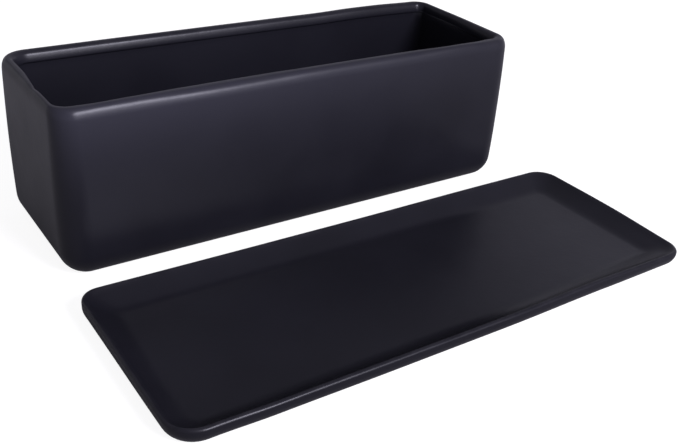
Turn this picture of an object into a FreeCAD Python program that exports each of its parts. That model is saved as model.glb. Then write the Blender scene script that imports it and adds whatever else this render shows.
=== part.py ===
"""Indoor herb planter: a slip-cast ceramic trough and the loose drip tray that belongs under it.

Millimetres, +Z up. X runs along the pot. The tray lies on the table in front of the pot, towards -Y, and
the origin is on the table, at the middle of the footprint that the two cover together.
"""
import FreeCAD, Part
import math
import os
from FreeCAD import Vector

# Pot, outside: one radius rounds the upright corners and the edge round the base
pot_length = 305.0
pot_width = 104.0
pot_height = 100.0
pot_edge_radius = 15.0

# Pot, inside: one radius rounds the upright corners and the edge round the floor
pot_wall = 7.5
pot_floor = 9.0
cavity_edge_radius = 9.0

# Rolled rim: a bead that stands in past the wall, with a crease where its underside meets the wall
rim_overhang = 1.8
rim_depth = 6.5
rim_crown = 0.5
rim_inner_radius = 3.4
rim_under_share = 0.6

# Drain holes, each in the middle of an equal share of the flat floor, and flared where they leave it
drain_hole_count = 3
drain_hole_diameter = 10.0
drain_hole_flare = 1.4

# Tray: how far it reaches past the pot that stands in it, its height and its corners
tray_reach_ends = 12.75
tray_reach_sides = 9.5
tray_height = 12.0
tray_corner_radius = 16.0

# Tray, inside: a flat floor, and a cove that rises towards the lip and rounds the corners too
tray_floor = 5.0
tray_cove_radius = 21.0

# Tray lip: how far in the cove ends, the narrow upright band outside it, and its two rounded edges
tray_lip_width = 3.8
tray_lip_band = 0.6
tray_lip_outer_radius = 2.4
tray_lip_inner_radius = 2.2

# Undersides: an unglazed foot ring round a shallow hollow with sloping sides
pot_foot_ring = 8.0
pot_foot_hollow = 2.0
tray_foot_ring = 7.0
tray_foot_hollow = 1.5
hollow_slope_share = 0.8

# How the two lie on the table: the gap between them, and how far the pot stands towards -X of the tray
layout_gap = 23.0
layout_shift = 7.8

# Cutting bodies run this far past the faces that they cut through
overrun = 5.0

# Edges this close to a level or an outline count as lying on it
match = 0.01

rim_width = pot_wall + rim_overhang
rim_outer_radius = rim_width - rim_crown - rim_inner_radius
tray_length = pot_length + 2 * tray_reach_ends
tray_width = pot_width + 2 * tray_reach_sides
tray_underside_radius = tray_height - tray_lip_outer_radius - tray_lip_band
layout_depth = pot_width + layout_gap + tray_width


def rounded_rectangle(length, width, corner, height):
    """A closed outline with four round corners, level at this height and centred on the upright axis."""
    half_x = length / 2
    half_y = width / 2
    straight_x = half_x - corner
    straight_y = half_y - corner
    bend = corner * math.cos(math.pi / 4)
    corners = []
    for sign_x, sign_y in ((1, 1), (-1, 1), (-1, -1), (1, -1)):
        on_end = Vector(sign_x * half_x, sign_y * straight_y, height)
        middle = Vector(sign_x * (straight_x + bend), sign_y * (straight_y + bend), height)
        on_side = Vector(sign_x * straight_x, sign_y * half_y, height)
        first, last = (on_end, on_side) if sign_x == sign_y else (on_side, on_end)
        corners.append((first, middle, last))
    edges = []
    for index, (first, middle, last) in enumerate(corners):
        following = corners[(index + 1) % len(corners)][0]
        edges.append(Part.Arc(first, middle, last).toShape())
        edges.append(Part.LineSegment(last, following).toShape())
    return Part.Wire(edges)


def block(length, width, corner, low, high):
    """An upright block with round corners."""
    face = Part.Face(rounded_rectangle(length, width, corner, low))
    return face.extrude(Vector(0, 0, high - low))


def ball_edged_block(length, width, radius, low, high):
    """An upright block whose upright edges and bottom edges share one radius, so its corners are balls."""
    box = Part.makeBox(length, width, high - low, Vector(-length / 2, -width / 2, low))
    rounded = [edge for edge in box.Edges if edge.BoundBox.ZMin < low + match]
    return box.makeFillet(radius, rounded)


def level_edges(shape, height, length, width):
    """The shape's level edges at this height that lie on or inside an outline of this length and width."""
    found = []
    for edge in shape.Edges:
        box = edge.BoundBox
        level = max(abs(box.ZMin - height), abs(box.ZMax - height)) < match
        inside_x = max(-box.XMin, box.XMax) < length / 2 + match
        inside_y = max(-box.YMin, box.YMax) < width / 2 + match
        if level and inside_x and inside_y:
            found.append(edge)
    return found


def with_foot_hollow(shape, foot_length, foot_width, ring, depth):
    """The shape with a shallow hollow under it, which leaves a foot ring of this width to stand on."""
    length = foot_length - 2 * ring
    width = foot_width - 2 * ring
    hollow = block(length, width, ring, -overrun, depth)
    hollow = hollow.makeChamfer(depth * hollow_slope_share, level_edges(hollow, depth, length, width))
    return shape.cut(hollow)


def pot_hollow():
    """The inside of the pot: rounded floor and walls, and the narrower mouth inside the rim bead."""
    length = pot_length - 2 * pot_wall
    width = pot_width - 2 * pot_wall
    bead_low = pot_height - rim_depth
    hollow = ball_edged_block(length, width, cavity_edge_radius, pot_floor, bead_low)
    mouth_corner = cavity_edge_radius - rim_overhang
    mouth = block(pot_length - 2 * rim_width, pot_width - 2 * rim_width, mouth_corner, bead_low, pot_height + overrun)
    return hollow.fuse(mouth)


def with_drain_holes(shape):
    """The pot with its row of upright drain holes, flared where they leave the floor."""
    floor_length = pot_length - 2 * (pot_wall + cavity_edge_radius)
    spacing = floor_length / drain_hole_count
    radius = drain_hole_diameter / 2
    first = (spacing - floor_length) / 2
    for index in range(drain_hole_count):
        start = Vector(first + index * spacing, 0, -overrun)
        shape = shape.cut(Part.makeCylinder(radius, pot_floor + 2 * overrun, start))
    on_floor = level_edges(shape, pot_floor, pot_length, pot_width)
    rims = [edge for edge in on_floor if abs(edge.Length - math.pi * drain_hole_diameter) < match]
    return shape.makeChamfer(drain_hole_flare, rims)


def planter_pot():
    """The slip-cast trough."""
    mouth_length = pot_length - 2 * rim_width
    mouth_width = pot_width - 2 * rim_width
    pot = ball_edged_block(pot_length, pot_width, pot_edge_radius, 0, pot_height)
    pot = pot.makeFillet(rim_outer_radius, level_edges(pot, pot_height, pot_length, pot_width))
    pot = pot.cut(pot_hollow())
    under_edges = level_edges(pot, pot_height - rim_depth, mouth_length, mouth_width)
    pot = pot.makeFillet(rim_overhang * rim_under_share, under_edges)
    pot = pot.makeFillet(rim_inner_radius, level_edges(pot, pot_height, mouth_length, mouth_width))
    foot_length = pot_length - 2 * pot_edge_radius
    foot_width = pot_width - 2 * pot_edge_radius
    pot = with_foot_hollow(pot, foot_length, foot_width, pot_foot_ring, pot_foot_hollow)
    pot = with_drain_holes(pot)
    pot.translate(Vector(-layout_shift, (layout_depth - pot_width) / 2, 0))
    return pot


def dish(mouth_length, mouth_width):
    """The hollow of the tray: a flat floor with a cove round it that reaches the mouth at the tray's height."""
    rise = tray_height - tray_floor
    cove_run = math.sqrt(tray_cove_radius**2 - (tray_cove_radius - rise) ** 2)
    spare = 2 * (tray_cove_radius - cove_run)
    top = tray_floor + tray_cove_radius + overrun
    return ball_edged_block(mouth_length + spare, mouth_width + spare, tray_cove_radius, tray_floor, top)


def drip_tray():
    """The pressed plate that catches the water."""
    tray = block(tray_length, tray_width, tray_corner_radius, 0, tray_height)
    tray = tray.makeFillet(tray_underside_radius, level_edges(tray, 0, tray_length, tray_width))
    tray = tray.makeFillet(tray_lip_outer_radius, level_edges(tray, tray_height, tray_length, tray_width))
    mouth_length = tray_length - 2 * tray_lip_width
    mouth_width = tray_width - 2 * tray_lip_width
    tray = tray.cut(dish(mouth_length, mouth_width))
    tray = tray.makeFillet(tray_lip_inner_radius, level_edges(tray, tray_height, mouth_length, mouth_width))
    foot_length = tray_length - 2 * tray_underside_radius
    foot_width = tray_width - 2 * tray_underside_radius
    tray = with_foot_hollow(tray, foot_length, foot_width, tray_foot_ring, tray_foot_hollow)
    tray.translate(Vector(0, (tray_width - layout_depth) / 2, 0))
    return tray


os.makedirs("parts", exist_ok=True)
for name, make in (("planter_pot", planter_pot), ("drip_tray", drip_tray)):
    make().Solids[0].exportStep("parts/" + name + ".step")
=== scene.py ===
"""Looks of the indoor herb planter: the glazed trough, its drip tray, and a plain studio round them.

Metres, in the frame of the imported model: the table is at z = 0, X runs along the pot, and the tray lies
towards -Y. Both pieces are closed meshes, swept as rings round a rounded rectangle and bridged. Back and
front mean towards +Y and -Y, and left and right towards -X and +X.
"""
import math

import bpy
from mathutils import Matrix, Vector
from mathutils.geometry import delaunay_2d_cdt


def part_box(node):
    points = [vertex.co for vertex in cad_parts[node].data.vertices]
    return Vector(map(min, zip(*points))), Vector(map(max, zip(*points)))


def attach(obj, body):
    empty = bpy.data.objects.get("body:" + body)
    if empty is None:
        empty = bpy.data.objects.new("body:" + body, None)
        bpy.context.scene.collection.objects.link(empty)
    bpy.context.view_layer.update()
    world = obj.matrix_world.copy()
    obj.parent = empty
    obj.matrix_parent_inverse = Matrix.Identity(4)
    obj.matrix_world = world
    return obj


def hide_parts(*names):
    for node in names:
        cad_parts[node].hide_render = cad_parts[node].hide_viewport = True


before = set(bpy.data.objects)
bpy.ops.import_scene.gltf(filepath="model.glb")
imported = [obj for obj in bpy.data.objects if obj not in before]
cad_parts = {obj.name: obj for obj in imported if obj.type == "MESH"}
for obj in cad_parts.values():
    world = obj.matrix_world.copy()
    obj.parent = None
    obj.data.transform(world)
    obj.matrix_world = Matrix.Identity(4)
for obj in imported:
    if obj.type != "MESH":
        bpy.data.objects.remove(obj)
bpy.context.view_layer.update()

# The photograph's frame, and the camera that fits it
PHOTO_WIDTH = 679
SENSOR_WIDTH = 36.0
FOCAL_PIXELS = 908.4
CAMERA_PLACE = Vector((-0.27913, -0.38812, 0.27380))
CAMERA_YAW = math.radians(35.524)
CAMERA_PITCH = math.radians(28.855)
CAMERA_ROLL = math.radians(-4.023)
CAMERA_NEAR = 0.01
CAMERA_FAR = 100.0

# Points of each ring: on one corner arc, on one long side and on one short side
CORNER_STEPS = 14
LONG_STEPS = 64
SHORT_STEPS = 24
LEAST_CORNER = 0.0005

# Where a table gives four corner radii, they are for the back right, back left, front left and front
# right. Arcs of a profile are each a radius, the angle at which it ends and its steps.

# Pot, outside: what the walls draw in by at the rim and the base, and the upright corners' radius, which
# changes towards the rim from this share of the height up
POT_BOW = 0.0009
POT_CORNER = 0.0150
POT_TOP_CORNERS = (0.0115, 0.0150, 0.0120, 0.0140)
POT_TOP_CORNERS_FROM = 0.4
POT_BASE_RADIUS = 0.0148
POT_BASE_STEPS = 14
POT_WALL_STEPS = 24

# Pot, inside
POT_WALL = 0.0075
POT_FLOOR = 0.009
POT_COVE = 0.009
POT_COVE_STEPS = 12
POT_INSIDE_STEPS = 18

# The rim's bead: its width, its oval outer edge, the arcs over its crown and in under it, and the crease
# where it meets the inside wall
RIM_WIDTH = 0.0093
RIM_CROWN = 0.0013
RIM_OUTER_RISE = 0.0066
RIM_OUTER_STEPS = 18
RIM_INNER_ARCS = ((0.0032, 160, 10), (0.0120, 178, 8), (0.0009, 270, 6))
RIM_CREASE_RADIUS = 0.0006
RIM_CREASE_STEPS = 4
MOUTH_CORNERS = (0.0045, 0.0100, 0.0065, 0.0045)

# The share of its width that the rim loses at the left end, and how far it sank there: at the back, in
# front and at a small notch, and the span along Y in which the back turns into the front
LEFT_NARROW_BACK = 0.20
LEFT_NARROW_FRONT = 0.46
LEFT_NARROW_NOTCH = 0.05
LEFT_DIP_FRONT = 0.0002
LEFT_DIP_NOTCH = 0.0004
LEFT_FRONT_SPAN = (0.020, -0.014)
NOTCH_PLACE = -0.013
NOTCH_WIDTH = 0.004

# The same at the right end. The wall under the rim takes part by this share
RIGHT_NARROW_BACK = 0.40
RIGHT_NARROW_FRONT = 0.12
RIGHT_DIP_BACK = 0.00055
RIGHT_DIP_FRONT = 0.00085
RIGHT_FRONT_SPAN = (0.020, -0.040)
RIGHT_WALL_SHARE = 0.60
RIGHT_WALL_BLEND = 0.001

# How far from an end its changes hold in full, and where they have gone. Then the same for how far down
# from the rim it is narrower, and how far down it sank
END_SPAN = (0.012, 0.050)
NARROW_SPAN = (0.008, 0.045)
DIP_SPAN = (0.0, 0.025)

# How far the rim sank at places along the back, and how much wider it is at places along the front
BACK_DIP = (
    (-0.125, 0.00074), (-0.072, 0.00056), (-0.019, 0.00070), (0.056, 0.00080),
    (0.089, 0.00020), (0.110, 0.00028), (0.142, 0.00060),
)
BACK_DIP_SPAN = (-0.03, 0.03)
FRONT_WIDER = (
    (-0.146, 0.0012), (-0.128, -0.0003), (-0.110, 0.0003), (-0.078, 0.0019), (-0.060, 0.0023),
    (-0.028, 0.0020), (-0.010, 0.0012), (0.068, 0.0014), (0.102, -0.0009), (0.120, -0.0004),
    (0.137, 0.0022),
)
FRONT_WIDER_SPAN = (-0.022, -0.038)

# Along the front the rim sank in a long wave of this depth, turns and shift, with a short one on top, and
# the walls sank with it from this share of the height up. The short wave and those below are each a
# height, radians per metre along X and along another direction, and a shift
SLUMP_DEPTH = 0.00025
SLUMP_TURNS = 1.5
SLUMP_SHIFT = 0.6
SLUMP_WAVE = (0.00012, 61, 37, 0.0)
SLUMP_FROM = 0.6

# The walls sway in two waves and lean in, with this share of both, and more and more between these heights
SWAY_WAVES = ((0.00018, 38, 0, 0.9), (0.0001, 83, 40, 0.0))
WALL_LEAN = 0.0003
LEAN_SHARE = 0.8
LEAN_SPAN = (0.02, 0.08)

# Drain holes, each with a narrow edge under it and a flare that ends in the floor
DRAIN_HOLES = 3
DRAIN_RADIUS = 0.005
DRAIN_FLARE = 0.0014
DRAIN_FLARE_STEPS = 6
DRAIN_EDGE = 0.0004
DRAIN_MARGIN = 0.0005
HOLE_STEPS = 48
FILL_MATCH = 1e-7

# Tray, outside and lip
TRAY_CORNERS = (0.0135, 0.0115, 0.0165, 0.0125)
TRAY_UNDER_RADIUS = 0.0082
TRAY_UNDER_STEPS = 12
TRAY_LIP_WIDTH = 0.0025
TRAY_LIP_OUTER = 0.0017
TRAY_LIP_OUTER_STEPS = 9
TRAY_LIP_INNER = 0.0007
TRAY_LIP_INNER_STEPS = 6

# Tray, inside: the plain slope of the back and the right end, in degrees where it leaves the lip, its
# arcs down to the floor, its corners at the lip, which take over from the outside ones within this blend,
# and those at the floor
TRAY_LIP_SLOPE = 32.8
TRAY_COVE_ARCS = ((0.0540, 20.0, 12), (0.0180, 0.0, 12))
TRAY_COVE_CORNER = 0.0125
TRAY_CORNER_BLEND = 0.0015
TRAY_FLOOR_CORNER = 0.0035
TRAY_FLOOR = 0.005

# The front and the left end are one soft hollow of this radius instead, which takes over inside the lip
# within this blend. It turns into the plain slope over these spans, to the right and to the back
SOFT_COVE = 0.016
SOFT_BLEND = 0.002
PLAIN_RIGHT_SPAN = (0.09, 0.15)
PLAIN_BACK_SPAN = (-0.02, 0.055)

# How far the tray's sides are drawn in at places along them. The last span, and the others below that
# reach 1, are shares of the way from the middle of the tray to that end or side
TRAY_FRONT_IN = (
    (-0.165, 0.0010), (-0.147, 0.0013), (-0.115, 0.0004), (-0.05, 0.0), (0.02, 0.0), (0.10, 0.0013),
    (0.165, 0.0020),
)
TRAY_BACK_IN = ((-0.165, 0.0), (0.165, 0.0001))
TRAY_LEFT_IN = ((-0.040, 0.0), (0.050, 0.0005))
TRAY_LEFT_SPAN = (0.5, 1.0)

# Along the left end the lip is thinner. That fades out between these insets
LEFT_LIP_THINNER = 0.0009
LEFT_LIP_INSETS = (0.004, 0.016)
LEFT_LIP_SPAN = (0.90, 0.99)

# The tray warped: its floor sags, its lip waves, its front and front right corner dropped, and its back
# left corner lifted
TRAY_SAG = 0.0003
TRAY_SAG_RUN = 0.02
TRAY_WAVE = (0.0001, 41, 0, 1.0)
TRAY_WAVE_FROM = 0.6
FRONT_DROP = 0.0012
FRONT_RIGHT_DROP = 0.0010
DROP_FRONT_SPAN = (-0.4, 1.0)
DROP_RIGHT_SPAN = (0.5, 1.0)
BACK_LEFT_LIFT = 0.0008
LIFT_BACK_SPAN = (-0.5, 1.0)
LIFT_LEFT_SPAN = (0.3, 1.0)

# Undersides: foot rings round hollows with sloping sides, the rounding of a ring's inner edge, and the
# shares of its width at which it has further points
POT_FOOT_RING = 0.008
POT_FOOT_HOLLOW = 0.002
TRAY_FOOT_RING = 0.007
TRAY_FOOT_HOLLOW = 0.0015
HOLLOW_SLOPE_SHARE = 0.8
FOOT_EDGE_RADIUS = 0.0004
FOOT_SHARES = (0.3, 0.5, 0.7, 0.9)

# A level face starts this far inside the edge that it ends at
CAP_MARGIN = 0.001
CAP_STEPS = 9

# The clay is bare up to the first height and glazed from the second, as far in as just past the foot
# ring. The glaze is thin down to the first distance from the top and full from the second
POT_BARE_SPAN = (0.0001, 0.0007)
TRAY_BARE_SPAN = (0.0001, 0.0006)
BARE_MARGIN = 0.0006
POT_THIN_SPAN = (0.0002, 0.004)
TRAY_THIN_SPAN = (0.0001, 0.0015)

# Points this close to a limit count as lying on it
MATCH = 0.0001


def smooth(low, high, value):
    """The value's share of the way from low to high, eased at both ends. high may be the lesser one."""
    share = min(max((value - low) / (high - low), 0.0), 1.0)
    return share * share * (3 - 2 * share)


def mixed(first, second, share):
    return first + (second - first) * share


def between(place, table):
    """The value at this place, from a table of places and values that run smoothly into each other."""
    for (start, first), (end, last) in zip(table, table[1:]):
        if place <= end:
            return mixed(first, last, smooth(start, end, place))
    return table[-1][1]


def wave(sizes, x, other=0.0):
    height, along_x, along_other, shift = sizes
    return height * math.sin(x * along_x + other * along_other + shift)


def ring(half_x, half_y, corners):
    """Plan points of a rounded rectangle, anticlockwise from the right end, the same number for every size.

    corners is one radius, or one for each corner.
    """
    corners = corners if isinstance(corners, tuple) else (corners,) * 4
    radii = [max(radius, LEAST_CORNER) for radius in corners]
    signs = ((1, 1), (-1, 1), (-1, -1), (1, -1))
    centres = []
    for (sign_x, sign_y), radius in zip(signs, radii):
        centres.append(Vector((sign_x * (half_x - radius), sign_y * (half_y - radius))))
    points = []
    for quarter in range(4):
        start = quarter * math.pi / 2
        centre, radius = centres[quarter], radii[quarter]
        for step in range(CORNER_STEPS + 1):
            angle = start + step / CORNER_STEPS * math.pi / 2
            points.append(centre + radius * Vector((math.cos(angle), math.sin(angle))))
        steps = LONG_STEPS if quarter % 2 == 0 else SHORT_STEPS
        after = (quarter + 1) % 4
        here = points[-1]
        there = centres[after] + radii[after] * Vector((math.cos(angle), math.sin(angle)))
        points += [here.lerp(there, step / steps) for step in range(1, steps)]
    return [tuple(point) for point in points]


def turn(centre_inset, centre_height, reach, start, end, steps, rise=None):
    """Profile points on an arc, or on an oval where rise isn't reach. Angle 0 points outwards and 90 up."""
    rise = reach if rise is None else rise
    points = []
    for step in range(steps + 1):
        angle = math.radians(start + (end - start) * step / steps)
        points.append((centre_inset - reach * math.cos(angle), centre_height + rise * math.sin(angle)))
    return points


def chain(start, heading, arcs):
    """Profile points on arcs that follow each other smoothly."""
    points = [start]
    for radius, end, steps in arcs:
        inset, height = points[-1]
        angle = math.radians(heading)
        centre = (inset + radius * math.cos(angle), height - radius * math.sin(angle))
        points += turn(*centre, radius, heading, end, steps)[1:]
        heading = end
    return points


def run(start, end, steps):
    """Profile points between two others, without the two themselves."""
    return [tuple(Vector(start).lerp(Vector(end), step / steps)) for step in range(1, steps)]


class Shell:
    """Collects the rings and fills of one closed mesh."""

    def __init__(self, low, high):
        self.size = high - low
        self.centre = Vector(((low.x + high.x) / 2, (low.y + high.y) / 2, 0))
        self.points = []
        self.insets = []
        self.faces = []
        self.loops = []

    def add_points(self, points, inset):
        first = len(self.points)
        self.points += points
        self.insets += [inset] * len(points)
        return list(range(first, len(self.points)))

    def loose_ring(self, inset, height, corners):
        plan = ring(self.size.x / 2 - inset, self.size.y / 2 - inset, corners)
        return self.add_points([Vector((x, y, height)) for x, y in plan], inset)

    def add_ring(self, inset, height, corners):
        """Adds a ring and bridges the one before it to this one."""
        loop = self.loose_ring(inset, height, corners)
        if self.loops:
            self.bridge(self.loops[-1], loop)
        self.loops.append(loop)
        return loop

    def bridge(self, below, above):
        count = len(below)
        for index in range(count):
            following = (index + 1) % count
            self.faces.append((below[index], below[following], above[following], above[index]))

    def circle(self, x, radius, height):
        points = []
        for step in range(HOLE_STEPS):
            angle = 2 * math.pi * step / HOLE_STEPS
            points.append(Vector((x + radius * math.cos(angle), radius * math.sin(angle), height)))
        return self.add_points(points, self.size.y / 2)

    def underside(self, foot_outer, foot_ring, hollow, outer_corner):
        """The hollow's ceiling, its sloping side, and the foot ring, which ends with outer_corner outside.

        Gives the ceiling's loop and inset.
        """
        foot_inner = foot_outer + foot_ring
        side_top = foot_inner + hollow * HOLLOW_SLOPE_SHARE
        ceiling_inset = side_top + CAP_MARGIN
        ceiling = self.add_ring(ceiling_inset, hollow, foot_ring)
        self.add_ring(side_top, hollow, foot_ring)
        self.add_ring(side_top - FOOT_EDGE_RADIUS, hollow - FOOT_EDGE_RADIUS / 2, foot_ring)
        self.add_ring(foot_inner + FOOT_EDGE_RADIUS, FOOT_EDGE_RADIUS, foot_ring)
        self.add_ring(foot_inner, 0, foot_ring)
        for share in (FOOT_EDGE_RADIUS / foot_ring, *FOOT_SHARES):
            self.add_ring(foot_inner - foot_ring * share, 0, mixed(foot_ring, outer_corner, share))
        return ceiling, ceiling_inset

    def fill(self, outer, holes, upwards):
        """Fills a level outline round its holes with triangles."""
        indices = list(outer)
        edges = [(step, (step + 1) % len(outer)) for step in range(len(outer))]
        for _, _, loop in holes:
            first = len(indices)
            indices += loop
            edges += [(first + step, first + (step + 1) % len(loop)) for step in range(len(loop))]
        flat = [self.points[index].xy for index in indices]
        corners, _, triangles, origins, _, _ = delaunay_2d_cdt(flat, edges, [], 0, FILL_MATCH)
        source = [indices[origin[0]] for origin in origins]
        for triangle in triangles:
            middle = sum((corners[corner] for corner in triangle), Vector((0, 0))) / 3
            if any(math.hypot(middle.x - hole_x, middle.y) < radius for hole_x, radius, _ in holes):
                continue
            face = [source[corner] for corner in triangle]
            self.faces.append(face if upwards else face[::-1])

    def cap(self, inset, height, corner, upwards):
        """Closes a level outline with rings that shrink to the middle line."""
        loop = self.loops[-1] if upwards else self.loops[0]
        spare = self.size.y / 2 - inset - 2 * LEAST_CORNER
        for step in range(1, CAP_STEPS + 1):
            share = step / CAP_STEPS
            inner = self.loose_ring(inset + spare * share, height, corner * (1 - share))
            if upwards:
                self.bridge(loop, inner)
            else:
                self.bridge(inner, loop)
            loop = inner

        # What is left is a narrow strip: a fan at each end of it, and quads across the rest
        first = -CORNER_STEPS - SHORT_STEPS
        loop = loop[first:] + loop[:first]
        end_steps = 2 * CORNER_STEPS + SHORT_STEPS
        faces = []
        for start in (0, len(loop) // 2):
            end = loop[start:start + end_steps + 1]
            chord_middle = (self.points[end[0]] + self.points[end[-1]]) / 2
            side_middle = self.points[end[end_steps // 2]]
            apex = self.add_points([chord_middle.lerp(side_middle, 0.5)], inset + spare)[0]
            faces += [(here, there, apex) for here, there in zip(end, end[1:] + end[:1])]
        for step in range(LONG_STEPS):
            back = loop[end_steps + step:end_steps + step + 2]
            faces.append((*back, loop[-step - 1], loop[-step]))
        self.faces += [face if upwards else face[::-1] for face in faces]

    def build(self, name, shape):
        """Makes the object. shape moves each point, and gives its shares of bare clay and of thin glaze."""
        mesh = bpy.data.meshes.new(name)
        moved, bare, thin = [], [], []
        for point, inset in zip(self.points, self.insets):
            place, bare_share, thin_share = shape(point, inset)
            moved.append(place + self.centre)
            bare.append(bare_share)
            thin.append(thin_share)
        mesh.from_pydata(moved, [], self.faces)
        mesh.shade_smooth()
        for label, values in (("bare", bare), ("thin", thin)):
            layer = mesh.attributes.new(label, "FLOAT", "POINT")
            layer.data.foreach_set("value", values)
        piece = bpy.data.objects.new(name, mesh)
        bpy.context.scene.collection.objects.link(piece)
        return piece


def drain_holes(shell, ceiling, floor):
    """The pot's drain holes, from the hollow's ceiling to their flares in the floor."""
    flare_low = POT_FLOOR - DRAIN_FLARE
    flare_outer = DRAIN_RADIUS + DRAIN_FLARE
    profile = [(DRAIN_RADIUS + DRAIN_EDGE, POT_FOOT_HOLLOW), (DRAIN_RADIUS, POT_FOOT_HOLLOW + DRAIN_EDGE)]
    profile.append((DRAIN_RADIUS, flare_low - DRAIN_EDGE))
    profile += turn(flare_outer, flare_low, DRAIN_FLARE, 0, 90, DRAIN_FLARE_STEPS)[1:]
    profile.append((flare_outer + DRAIN_MARGIN, POT_FLOOR))
    spacing = (shell.size.x - 2 * (POT_WALL + POT_COVE)) / DRAIN_HOLES
    above, below = [], []
    for index in range(DRAIN_HOLES):
        x = (index - (DRAIN_HOLES - 1) / 2) * spacing
        loops = [shell.circle(x, radius, level) for radius, level in profile]
        for lower, upper in zip(loops, loops[1:]):
            shell.bridge(upper, lower)
        below.append((x, profile[0][0], loops[0]))
        above.append((x, profile[-1][0], loops[-1]))
    shell.fill(ceiling, below, False)
    shell.fill(floor, above, True)


def pot_unevenness(size, foot_inner, under_low):
    """A function that moves the pot's points to where casting and firing left them."""
    height = size.z

    def near_rim(span, level):
        return smooth(height - span[1], height - span[0], level)

    def left_end(x, y, z, rim_inset):
        """The rim at the left end is narrower and lower, most of all in front, with a small notch."""
        front = smooth(*LEFT_FRONT_SPAN, y)
        notch = math.exp(-(((y - NOTCH_PLACE) / NOTCH_WIDTH) ** 2))
        at_end = 1 - smooth(*END_SPAN, size.x / 2 + x)
        narrow = mixed(LEFT_NARROW_BACK, LEFT_NARROW_FRONT, front) + LEFT_NARROW_NOTCH * notch
        dip = LEFT_DIP_FRONT * front + LEFT_DIP_NOTCH * notch
        x -= narrow * rim_inset * at_end * near_rim(NARROW_SPAN, z)
        return x, z - dip * at_end * near_rim(DIP_SPAN, z)

    def right_end(x, y, z, rim_inset):
        """At the right end it is narrower too, most of all at the back, and its bead runs into the wall."""
        front = smooth(*RIGHT_FRONT_SPAN, y)
        at_end = 1 - smooth(*END_SPAN, size.x / 2 - x)
        above_wall = smooth(under_low - RIGHT_WALL_BLEND, under_low + RIGHT_WALL_BLEND, z)
        narrow = mixed(RIGHT_NARROW_BACK, RIGHT_NARROW_FRONT, front)
        narrow *= mixed(RIGHT_WALL_SHARE, 1, above_wall)
        dip = mixed(RIGHT_DIP_BACK, RIGHT_DIP_FRONT, front)
        x += narrow * rim_inset * at_end * near_rim(NARROW_SPAN, z)
        return x, z - dip * at_end * near_rim(DIP_SPAN, z)

    def slump(x, y):
        """How far the unfired rim sank between its corners."""
        dip = SLUMP_DEPTH * (1 - math.cos(2 * math.pi * x / size.x * SLUMP_TURNS + SLUMP_SHIFT)) / 2
        dip += (SLUMP_WAVE[0] + wave(SLUMP_WAVE, x, y)) / 2
        return mixed(dip, between(x, BACK_DIP), smooth(*BACK_DIP_SPAN, y))

    def shape(point, inset):
        x, y, z = point
        bare = 1 - smooth(*POT_BARE_SPAN, z) if inset < foot_inner + BARE_MARGIN else 0.0
        thin = near_rim(POT_THIN_SPAN, z)
        rim_inset = inset if inset < RIM_WIDTH + MATCH else 0.0
        x, z = left_end(x, y, z, rim_inset)
        x, z = right_end(x, y, z, rim_inset)
        dip = slump(x, y)
        rim_share = rim_inset / RIM_WIDTH * near_rim(NARROW_SPAN, z)
        y += between(x, FRONT_WIDER) * rim_share * smooth(*FRONT_WIDER_SPAN, y)
        z -= dip * smooth(SLUMP_FROM * height, height, z)
        sway = sum(wave(sizes, x, z) for sizes in SWAY_WAVES)
        y += (sway - WALL_LEAN * math.copysign(1, y)) * LEAN_SHARE * smooth(*LEAN_SPAN, z)
        return Vector((x, y, max(z, 0))), bare, thin

    return shape


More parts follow.
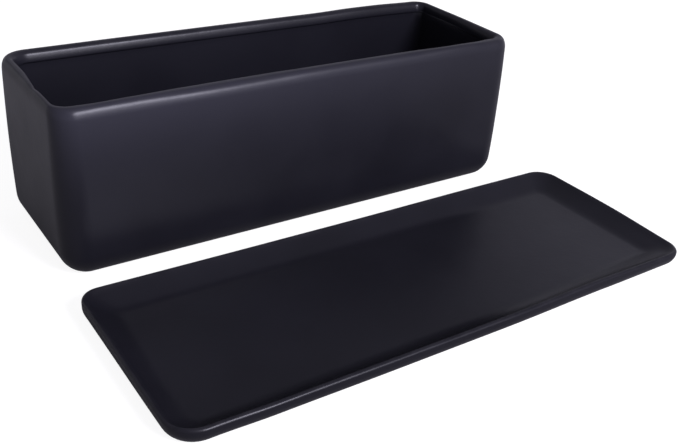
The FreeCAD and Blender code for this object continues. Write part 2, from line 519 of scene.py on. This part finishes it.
def pot_shell():
    low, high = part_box("planter_pot")
    shell = Shell(low, high)
    height = shell.size.z

    def bow(level):
        return POT_BOW * (2 * level / height - 1) ** 2

    def wall_corners(level):
        share = smooth(POT_TOP_CORNERS_FROM * height, height, level)
        return tuple(mixed(POT_CORNER, top_corner, share) for top_corner in POT_TOP_CORNERS)

    def rim_corners(inset, level):
        share = inset / RIM_WIDTH
        return tuple(mixed(outer, inner, share) for outer, inner in zip(wall_corners(level), MOUTH_CORNERS))

    def inside_corners(inset):
        return tuple(corner + RIM_WIDTH - inset for corner in MOUTH_CORNERS)

    # Underside and rounded base edge
    foot_outer = POT_BASE_RADIUS + bow(0)
    ceiling, _ = shell.underside(foot_outer, POT_FOOT_RING, POT_FOOT_HOLLOW, 0)
    for inset, level in turn(POT_BASE_RADIUS, POT_BASE_RADIUS, POT_BASE_RADIUS, -90, 0, POT_BASE_STEPS):
        shell.add_ring(inset + bow(level), level, POT_CORNER - inset)

    # Outside wall and the bead of the rim
    bead = chain((0, height), 90, RIM_INNER_ARCS)
    crown_inset = RIM_WIDTH - max(inset for inset, level in bead)
    outer_reach = crown_inset - POT_BOW - RIM_CROWN
    outer_low = height - RIM_OUTER_RISE
    for inset, level in run((0, POT_BASE_RADIUS), (0, outer_low), POT_WALL_STEPS):
        shell.add_ring(inset + bow(level), level, wall_corners(level))
    for inset, level in turn(outer_reach, outer_low, outer_reach, 0, 90, RIM_OUTER_STEPS, RIM_OUTER_RISE):
        shell.add_ring(inset + bow(level), level, rim_corners(inset, level))
    for inset, level in bead:
        shell.add_ring(crown_inset + inset, level, rim_corners(crown_inset + inset, height))

    # Inside, from the crease under the rim down the wall and the cove to the floor
    under_low = bead[-1][1]
    crease_low = under_low - RIM_CREASE_RADIUS
    cove_top = POT_FLOOR + POT_COVE
    crease_inset = POT_WALL + RIM_CREASE_RADIUS
    inside = turn(crease_inset, crease_low, RIM_CREASE_RADIUS, 90, 0, RIM_CREASE_STEPS)[1:]
    inside += run((POT_WALL, crease_low), (POT_WALL, cove_top), POT_INSIDE_STEPS)
    inside += turn(POT_WALL + POT_COVE, cove_top, POT_COVE, 0, -90, POT_COVE_STEPS)
    for inset, level in inside:
        shell.add_ring(inset, level, inside_corners(inset))
    floor = shell.add_ring(POT_WALL + POT_COVE + CAP_MARGIN, POT_FLOOR, LEAST_CORNER)

    drain_holes(shell, ceiling, floor)
    return shell.build("pot_glazed", pot_unevenness(shell.size, foot_outer + POT_FOOT_RING, under_low))


def tray_unevenness(size, floor_inset):
    """A function that moves the tray's points to where pressing and firing left them."""
    height = size.z
    soft_run = math.sqrt(SOFT_COVE**2 - (SOFT_COVE - (height - TRAY_FLOOR)) ** 2)

    def soft_hollow(x, y, z, inset):
        """The height inside the lip, where the front and the left end are one soft hollow."""
        run_left = max(TRAY_LIP_WIDTH + soft_run - inset, 0.0)
        soft = TRAY_FLOOR + SOFT_COVE - math.sqrt(SOFT_COVE**2 - run_left**2)
        plain = max(smooth(*PLAIN_RIGHT_SPAN, x), smooth(*PLAIN_BACK_SPAN, y))
        return mixed(z, soft, (1 - plain) * smooth(TRAY_LIP_WIDTH, TRAY_LIP_WIDTH + SOFT_BLEND, inset))

    def shape(point, inset):
        x, y, z = point
        along = 2 * x / size.x
        across = 2 * y / size.y
        over_foot = inset < TRAY_UNDER_RADIUS + TRAY_FOOT_RING + BARE_MARGIN
        bare = 1 - smooth(*TRAY_BARE_SPAN, z) if over_foot else 0.0
        thin = smooth(height - TRAY_THIN_SPAN[1], height - TRAY_THIN_SPAN[0], z)
        inside = inset > TRAY_LIP_WIDTH and z > TRAY_FLOOR - MATCH

        # Its sides are drawn in, parts of its inside are a soft hollow, and the lip is thinner at the left
        drawn = between(x, TRAY_BACK_IN if y > 0 else TRAY_FRONT_IN)
        y *= 1 - 2 * drawn / size.y
        if inside:
            z = soft_hollow(x, y, z, inset)
        raised = smooth(TRAY_FLOOR, height, z)
        x += between(y, TRAY_LEFT_IN) * smooth(*TRAY_LEFT_SPAN, -along)
        on_lip = smooth(0, TRAY_LIP_WIDTH, inset) * (1 - smooth(*LEFT_LIP_INSETS, inset))
        x -= LEFT_LIP_THINNER * on_lip * raised * smooth(*LEFT_LIP_SPAN, -along)

        # It warped
        if inside:
            z -= TRAY_SAG * smooth(TRAY_LIP_WIDTH, floor_inset + TRAY_SAG_RUN, inset) * (1 - along**2)
        z -= (TRAY_WAVE[0] + wave(TRAY_WAVE, x)) * smooth(TRAY_WAVE_FROM * height, height, z)
        z -= FRONT_DROP * smooth(0, size.y / 2, -y) * raised
        z += BACK_LEFT_LIFT * smooth(*LIFT_LEFT_SPAN, -along) * smooth(*LIFT_BACK_SPAN, across) * raised
        z -= FRONT_RIGHT_DROP * smooth(*DROP_RIGHT_SPAN, along) * smooth(*DROP_FRONT_SPAN, -across) * raised
        return Vector((x, y, max(z, 0))), bare, thin

    return shape


def tray_shell():
    low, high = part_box("drip_tray")
    shell = Shell(low, high)
    height = shell.size.z

    def outside_corners(inset):
        return tuple(corner - inset for corner in TRAY_CORNERS)

    # Underside, side and the outer rounding of the lip
    _, ceiling_inset = shell.underside(TRAY_UNDER_RADIUS, TRAY_FOOT_RING, TRAY_FOOT_HOLLOW, TRAY_FOOT_RING)
    side = turn(TRAY_UNDER_RADIUS, TRAY_UNDER_RADIUS, TRAY_UNDER_RADIUS, -90, 0, TRAY_UNDER_STEPS)
    side += turn(TRAY_LIP_OUTER, height - TRAY_LIP_OUTER, TRAY_LIP_OUTER, 0, 90, TRAY_LIP_OUTER_STEPS)
    for inset, level in side:
        shell.add_ring(inset, level, outside_corners(inset))

    # The lip's inner rounding runs into the slope, and the slope into the floor
    lip_centre = (TRAY_LIP_WIDTH - TRAY_LIP_INNER, height - TRAY_LIP_INNER)
    lip = turn(*lip_centre, TRAY_LIP_INNER, 90, 90 + TRAY_LIP_SLOPE, TRAY_LIP_INNER_STEPS)
    lip_low = lip[-1][1]
    cove_arcs = [(radius, slope_after - 90, steps) for radius, slope_after, steps in TRAY_COVE_ARCS]
    cove = chain(lip[-1], TRAY_LIP_SLOPE - 90, cove_arcs)
    squeeze = (lip_low - TRAY_FLOOR) / (lip_low - cove[-1][1])
    profile = lip + [(inset, lip_low + (level - lip_low) * squeeze) for inset, level in cove[1:]]
    floor_inset = profile[-1][0]
    for inset, level in profile:
        inwards = (inset - TRAY_LIP_OUTER) / (floor_inset - TRAY_LIP_OUTER)
        cove_corner = mixed(TRAY_COVE_CORNER, TRAY_FLOOR_CORNER, inwards)
        share = smooth(TRAY_LIP_OUTER, TRAY_LIP_OUTER + TRAY_CORNER_BLEND, inset)
        corners = tuple(mixed(corner, cove_corner, share) for corner in outside_corners(TRAY_LIP_OUTER))
        shell.add_ring(inset, level, corners)
    floor_corner = TRAY_FLOOR_CORNER - CAP_MARGIN
    shell.add_ring(floor_inset + CAP_MARGIN, TRAY_FLOOR, floor_corner)

    shell.cap(ceiling_inset, TRAY_FOOT_HOLLOW, TRAY_FOOT_RING, False)
    shell.cap(floor_inset + CAP_MARGIN, TRAY_FLOOR, floor_corner, True)
    return shell.build("tray_glazed", tray_unevenness(shell.size, floor_inset))


def empty_tree(owner):
    """The node tree of a material or a world, with no nodes in it."""
    owner.use_nodes = True
    owner.node_tree.nodes.clear()
    return owner.node_tree


def node(tree, kind, **inputs):
    """A new node. Each input is a constant or the output that it is linked to, with _ for a space."""
    made = tree.nodes.new(kind)
    for name, value in inputs.items():
        socket = made.inputs[name.replace("_", " ")]
        if isinstance(value, bpy.types.NodeSocket):
            tree.links.new(value, socket)
        else:
            socket.default_value = value
    return made


def vector_node(tree, operation, vector):
    made = tree.nodes.new("ShaderNodeVectorMath")
    made.operation = operation
    tree.links.new(vector, made.inputs[0])
    return made


def split(tree, vector):
    return node(tree, "ShaderNodeSeparateXYZ", Vector=vector).outputs


def stored(tree, label):
    """The share that a mesh has stored for each of its points."""
    made = tree.nodes.new("ShaderNodeAttribute")
    made.attribute_name = label
    return made.outputs["Fac"]


def noise(tree, place, sizes):
    scale, detail, roughness = sizes
    made = node(tree, "ShaderNodeTexNoise", Vector=place, Scale=scale, Detail=detail, Roughness=roughness)
    return made.outputs["Fac"]


def remap(tree, value, span, result=(0.0, 1.0), kind="LINEAR"):
    """Turns a span of the value into the result, and holds it at the ends."""
    made = node(tree, "ShaderNodeMapRange", Value=value)
    made.interpolation_type = kind
    for side, limit, outcome in zip(("Min", "Max"), span, result):
        made.inputs["From " + side].default_value = limit
        made.inputs["To " + side].default_value = outcome
    return made.outputs["Result"]


def mix_colour(tree, share, first, second):
    made = tree.nodes.new("ShaderNodeMix")
    made.data_type = "RGBA"
    for socket, value in (("A", first), ("B", second)):
        target = next(s for s in made.inputs if s.name == socket and s.type == "RGBA")
        if isinstance(value, tuple):
            target.default_value = (*value, 1.0)
        else:
            tree.links.new(value, target)
    tree.links.new(share, made.inputs["Factor"])
    return next(s for s in made.outputs if s.type == "RGBA")


def math_node(tree, operation, first, second):
    made = tree.nodes.new("ShaderNodeMath")
    made.operation = operation
    for index, value in enumerate((first, second)):
        if isinstance(value, (int, float)):
            made.inputs[index].default_value = value
        else:
            tree.links.new(value, made.inputs[index])
    return made.outputs[0]


def bump(tree, height, sizes):
    strength, distance = sizes
    made = node(tree, "ShaderNodeBump", Height=height, Strength=strength, Distance=distance)
    return made.outputs["Normal"]


def mix_shader(tree, share, first, second):
    made = node(tree, "ShaderNodeMixShader", Fac=share)
    tree.links.new(first, made.inputs[1])
    tree.links.new(second, made.inputs[2])
    return made.outputs["Shader"]


GLAZE_IOR = 1.33
GLAZE_DEEP = (0.0078, 0.0076, 0.0108)
GLAZE_LIGHT = (0.0102, 0.0100, 0.0140)
# A lighter colour painted up the front wall as a sheen, in place of reflected light
GLAZE_PAINTED_SHEEN = (0.0290, 0.0286, 0.0390)
GLAZE_THIN = (0.0260, 0.0250, 0.0300)
CLAY_DARK = (0.27, 0.23, 0.19)
CLAY_LIGHT = (0.40, 0.35, 0.29)
CLAY_ROUGHNESS = 0.85

# Noises, each a scale, a detail and a roughness, with the span that is used of them and what it turns into
CLOUDS = (14.0, 3.0, 0.55)
CLOUDS_SPAN = (0.35, 0.65)
WEAR = (90.0, 4.0, 0.6)
WEAR_SPAN = (0.35, 0.75)
WEAR_SHARE = (0.0, 0.6)
SATIN = (30.0, 4.0, 0.6)
SATIN_SPAN = (0.3, 0.7)
SATIN_ROUGHNESS = (0.30, 0.35)
PEEL = (420.0, 2.0, 0.5)
RIPPLE = (60.0, 2.0, 0.5)
RIPPLE_SHARE = 3.0
GRAIN = (900.0, 5.0, 0.7)
GRAIN_SPAN = (0.3, 0.7)
RAGGED = (220.0, 3.0, 0.6)
RAGGED_SPAN = (0.3, 0.7)
RAGGED_SHIFT = (-0.25, 0.25)
BARE_SPAN = (0.45, 0.6)

# Pinholes are dots at the middles of cells, with a share in the colour and in the relief
PIT_SCALE = 75.0
PIT_SPAN = (0.0, 0.03)
PIT_COLOUR_SHARE = 0.5
PIT_DEPTH_SHARE = 1.5

# Bumps, each a strength and a distance
GLAZE_BUMP = (0.5, 0.00006)
CLAY_BUMP = (0.6, 0.00015)

# Painted sheen: up the pot's front wall the glaze colour gets lighter towards the rim, standing in for
# reflected light on the wall's upper left. Its span and power upwards, and its spans and shares towards the
# back and towards the right
SHEEN_UP_SPAN = (0.020, 0.096)
SHEEN_UP_POWER = 2.4
SHEEN_BACK_SPAN = (0.024, 0.042)
SHEEN_BACK_SHARE = (1.0, 0.18)
SHEEN_RIGHT_SPAN = (-0.10, 0.15)
SHEEN_RIGHT_SHARE = (1.0, 0.32)

# A piece's patterns are shifted by its seed times these
SEED_SHIFT = (1.0, 0.7, 0.3)


def glaze_shader(tree, coords, place):
    """Satin black glaze that pools and thins a little, with a painted sheen up the pot's front wall, a fine
    orange peel and a few pinholes.
    """
    clouds = remap(tree, noise(tree, place, CLOUDS), CLOUDS_SPAN)
    colour = mix_colour(tree, clouds, GLAZE_DEEP, GLAZE_LIGHT)
    # Painted sheen: the front wall's colour is mixed towards a lighter one near the rim and at the left, in
    # place of reflected light
    where = split(tree, coords)
    up = math_node(tree, "POWER", remap(tree, where["Z"], SHEEN_UP_SPAN), SHEEN_UP_POWER)
    back = remap(tree, where["Y"], SHEEN_BACK_SPAN, SHEEN_BACK_SHARE)
    right = remap(tree, where["X"], SHEEN_RIGHT_SPAN, SHEEN_RIGHT_SHARE)
    high = math_node(tree, "MULTIPLY", up, math_node(tree, "MULTIPLY", back, right))
    colour = mix_colour(tree, high, colour, GLAZE_PAINTED_SHEEN)

    # Along the tops it is worn thin in places, and it is thin in the pinholes
    wear = remap(tree, noise(tree, place, WEAR), WEAR_SPAN, WEAR_SHARE)
    colour = mix_colour(tree, math_node(tree, "MULTIPLY", stored(tree, "thin"), wear), colour, GLAZE_THIN)
    cells = node(tree, "ShaderNodeTexVoronoi", Vector=place, Scale=PIT_SCALE)
    pit = remap(tree, cells.outputs["Distance"], PIT_SPAN, (1.0, 0.0))
    colour = mix_colour(tree, math_node(tree, "MULTIPLY", pit, PIT_COLOUR_SHARE), colour, GLAZE_THIN)

    ripple = math_node(tree, "MULTIPLY", noise(tree, place, RIPPLE), RIPPLE_SHARE)
    relief = math_node(tree, "ADD", noise(tree, place, PEEL), ripple)
    relief = math_node(tree, "SUBTRACT", relief, math_node(tree, "MULTIPLY", pit, PIT_DEPTH_SHARE))
    normal = bump(tree, relief, GLAZE_BUMP)
    satin = remap(tree, noise(tree, place, SATIN), SATIN_SPAN, SATIN_ROUGHNESS)
    looks = {"Base_Color": colour, "IOR": GLAZE_IOR, "Roughness": satin, "Normal": normal}
    return node(tree, "ShaderNodeBsdfPrincipled", **looks).outputs["BSDF"]


def clay_shader(tree, place):
    grain = noise(tree, place, GRAIN)
    colour = mix_colour(tree, remap(tree, grain, GRAIN_SPAN), CLAY_DARK, CLAY_LIGHT)
    looks = {"Base_Color": colour, "Roughness": CLAY_ROUGHNESS, "Normal": bump(tree, grain, CLAY_BUMP)}
    return node(tree, "ShaderNodeBsdfPrincipled", **looks).outputs["BSDF"]


def glazed(name, seed):
    """Glaze that leaves the clay bare on the foot ring, with a ragged edge."""
    material = bpy.data.materials.new(name)
    tree = empty_tree(material)
    coords = tree.nodes.new("ShaderNodeTexCoord").outputs["Object"]
    shift = vector_node(tree, "ADD", coords)
    shift.inputs[1].default_value = [seed * part for part in SEED_SHIFT]
    place = shift.outputs["Vector"]
    ragged = remap(tree, noise(tree, place, RAGGED), RAGGED_SPAN, RAGGED_SHIFT)
    bare = remap(tree, math_node(tree, "ADD", stored(tree, "bare"), ragged), BARE_SPAN)
    surface = mix_shader(tree, bare, glaze_shader(tree, coords, place), clay_shader(tree, place))
    node(tree, "ShaderNodeOutputMaterial", Surface=surface)
    return material


LIGHT_TINT = (0.87, 0.85, 1.0)

# The table is a disc just under the pieces. Its own colour turns into plain white over this span of
# distances from the middle
FLOOR_RADIUS = 25.0
FLOOR_STEPS = 96
FLOOR_DROP = 0.0002
FLOOR_COLOUR = (0.28, 0.275, 0.27)
FLOOR_GLOW_NEAR = 0.90
FLOOR_GLOW_FAR = 1.0
FLOOR_SPAN = (0.35, 1.4)

# The share of its glow that the glaze mirrors grows with the distance from the middle, and again towards
# the back, except at the left
MIRROR_SPAN = (0.11, 0.29)
MIRROR_SHARE = (0.0, 0.15)
MIRROR_BACK_SPAN = (0.16, 0.34)
MIRROR_BACK_SHARE = (0.0, 0.40)
MIRROR_RIGHT_SPAN = (-0.12, 0.04)


def floor_shader(tree):
    coords = tree.nodes.new("ShaderNodeTexCoord").outputs["Object"]
    distance = vector_node(tree, "LENGTH", coords).outputs["Value"]
    path = tree.nodes.new("ShaderNodeLightPath").outputs

    # How much of the glow a ray meets: all of it straight from the camera, and a share in reflections
    where = split(tree, coords)
    behind = remap(tree, where["Y"], MIRROR_BACK_SPAN, MIRROR_BACK_SHARE)
    behind = math_node(tree, "MULTIPLY", behind, remap(tree, where["X"], MIRROR_RIGHT_SPAN))
    outwards = remap(tree, distance, MIRROR_SPAN, MIRROR_SHARE, "SMOOTHSTEP")
    mirrored = math_node(tree, "MULTIPLY", path["Is Glossy Ray"], math_node(tree, "ADD", outwards, behind))
    seen = math_node(tree, "MAXIMUM", path["Is Camera Ray"], path["Is Transmission Ray"])
    seen = math_node(tree, "MAXIMUM", seen, mirrored)

    paper = node(tree, "ShaderNodeBsdfDiffuse", Color=(*FLOOR_COLOUR, 1.0))
    tint = mix_colour(tree, path["Is Glossy Ray"], (1.0, 1.0, 1.0), LIGHT_TINT)
    strength = math_node(tree, "MULTIPLY", seen, FLOOR_GLOW_NEAR)
    near_glow = node(tree, "ShaderNodeEmission", Color=tint, Strength=strength)
    near = tree.nodes.new("ShaderNodeAddShader")
    tree.links.new(paper.outputs["BSDF"], near.inputs[0])
    tree.links.new(near_glow.outputs["Emission"], near.inputs[1])
    far_glow = node(tree, "ShaderNodeEmission", Strength=FLOOR_GLOW_FAR)
    far = math_node(tree, "MULTIPLY", remap(tree, distance, FLOOR_SPAN, kind="SMOOTHSTEP"), seen)
    return mix_shader(tree, far, near.outputs["Shader"], far_glow.outputs["Emission"])


def studio_floor():
    """A pale table. Lamps light it near the object, and it turns to plain white further away."""
    mesh = bpy.data.meshes.new("floor")
    rim = []
    for step in range(FLOOR_STEPS):
        angle = 2 * math.pi * step / FLOOR_STEPS
        rim.append((FLOOR_RADIUS * math.cos(angle), FLOOR_RADIUS * math.sin(angle), -FLOOR_DROP))
    mesh.from_pydata(rim, [], [list(range(FLOOR_STEPS))])
    floor = bpy.data.objects.new("floor", mesh)
    bpy.context.scene.collection.objects.link(floor)
    material = bpy.data.materials.new("floor_paper")
    tree = empty_tree(material)
    node(tree, "ShaderNodeOutputMaterial", Surface=floor_shader(tree))
    mesh.materials.append(material)


# The span of a direction's upward part in which the sky dims, and its strengths
WORLD_SPAN = (0.0, 0.28)
WORLD_STRENGTH = (0.62, 0.31)


def studio_world():
    """A dim ceiling over a bright horizon."""
    world = bpy.data.worlds.new("studio")
    bpy.context.scene.world = world
    tree = empty_tree(world)
    coords = tree.nodes.new("ShaderNodeTexCoord").outputs["Generated"]
    strength = remap(tree, split(tree, coords)["Z"], WORLD_SPAN, WORLD_STRENGTH)
    sky = node(tree, "ShaderNodeBackground", Color=(*LIGHT_TINT, 1.0), Strength=strength)
    node(tree, "ShaderNodeOutputWorld", Surface=sky.outputs["Background"])


def direction(azimuth, elevation):
    """A unit vector, with the azimuth from +Y towards +X, both in radians."""
    level = math.cos(elevation)
    return Vector((math.sin(azimuth) * level, math.cos(azimuth) * level, math.sin(elevation)))


LAMP_AIM = Vector((-0.05, 0, 0.05))
LAMP_DISTANCE = 2.4
LAMP_HEIGHT = 0.8

# Name, azimuth and elevation in degrees as seen from the aim, width, and power in watts
LAMPS = (
    ("key", 165, 32, 0.85, 62.0),
    ("low", 168, 12, 1.0, 9.0),
    ("side", 64, 20, 1.0, 0.9),
)


def softbox(name, azimuth, elevation, width, power):
    """An oval lamp."""
    away = direction(math.radians(azimuth), math.radians(elevation))
    light = bpy.data.lights.new(name, "AREA")
    light.shape = "ELLIPSE"
    light.size = width
    light.size_y = LAMP_HEIGHT
    light.energy = power
    light.color = LIGHT_TINT
    lamp = bpy.data.objects.new(name, light)
    bpy.context.scene.collection.objects.link(lamp)
    lamp.location = LAMP_AIM + away * LAMP_DISTANCE
    lamp.rotation_euler = (-away).to_track_quat("-Z", "Y").to_euler()


def camera():
    forward = direction(CAMERA_YAW, -CAMERA_PITCH)
    level = Vector((math.cos(CAMERA_YAW), -math.sin(CAMERA_YAW), 0))
    down = forward.cross(level)
    right = math.cos(CAMERA_ROLL) * level + math.sin(CAMERA_ROLL) * down
    down = -math.sin(CAMERA_ROLL) * level + math.cos(CAMERA_ROLL) * down
    lens = bpy.data.cameras.new("camera")
    lens.sensor_fit = "HORIZONTAL"
    lens.sensor_width = SENSOR_WIDTH
    lens.lens = FOCAL_PIXELS / PHOTO_WIDTH * SENSOR_WIDTH
    lens.clip_start = CAMERA_NEAR
    lens.clip_end = CAMERA_FAR
    eye = bpy.data.objects.new("camera", lens)
    bpy.context.scene.collection.objects.link(eye)
    turned = Matrix((right, -down, -forward)).transposed()
    eye.matrix_world = Matrix.Translation(CAMERA_PLACE) @ turned.to_4x4()
    bpy.context.scene.camera = eye


for make, node_name, body, slot, seed in (
    (pot_shell, "planter_pot", "pot", "pot_glaze", 0.0),
    (tray_shell, "drip_tray", "tray", "tray_glaze", 3.7),
):
    piece = make()
    piece.data.materials.append(glazed(slot, seed))
    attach(piece, body)
    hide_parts(node_name)

studio_floor()
studio_world()
for lamp_sizes in LAMPS:
    softbox(*lamp_sizes)
camera()
bpy.context.scene.view_settings.view_transform = "Standard"
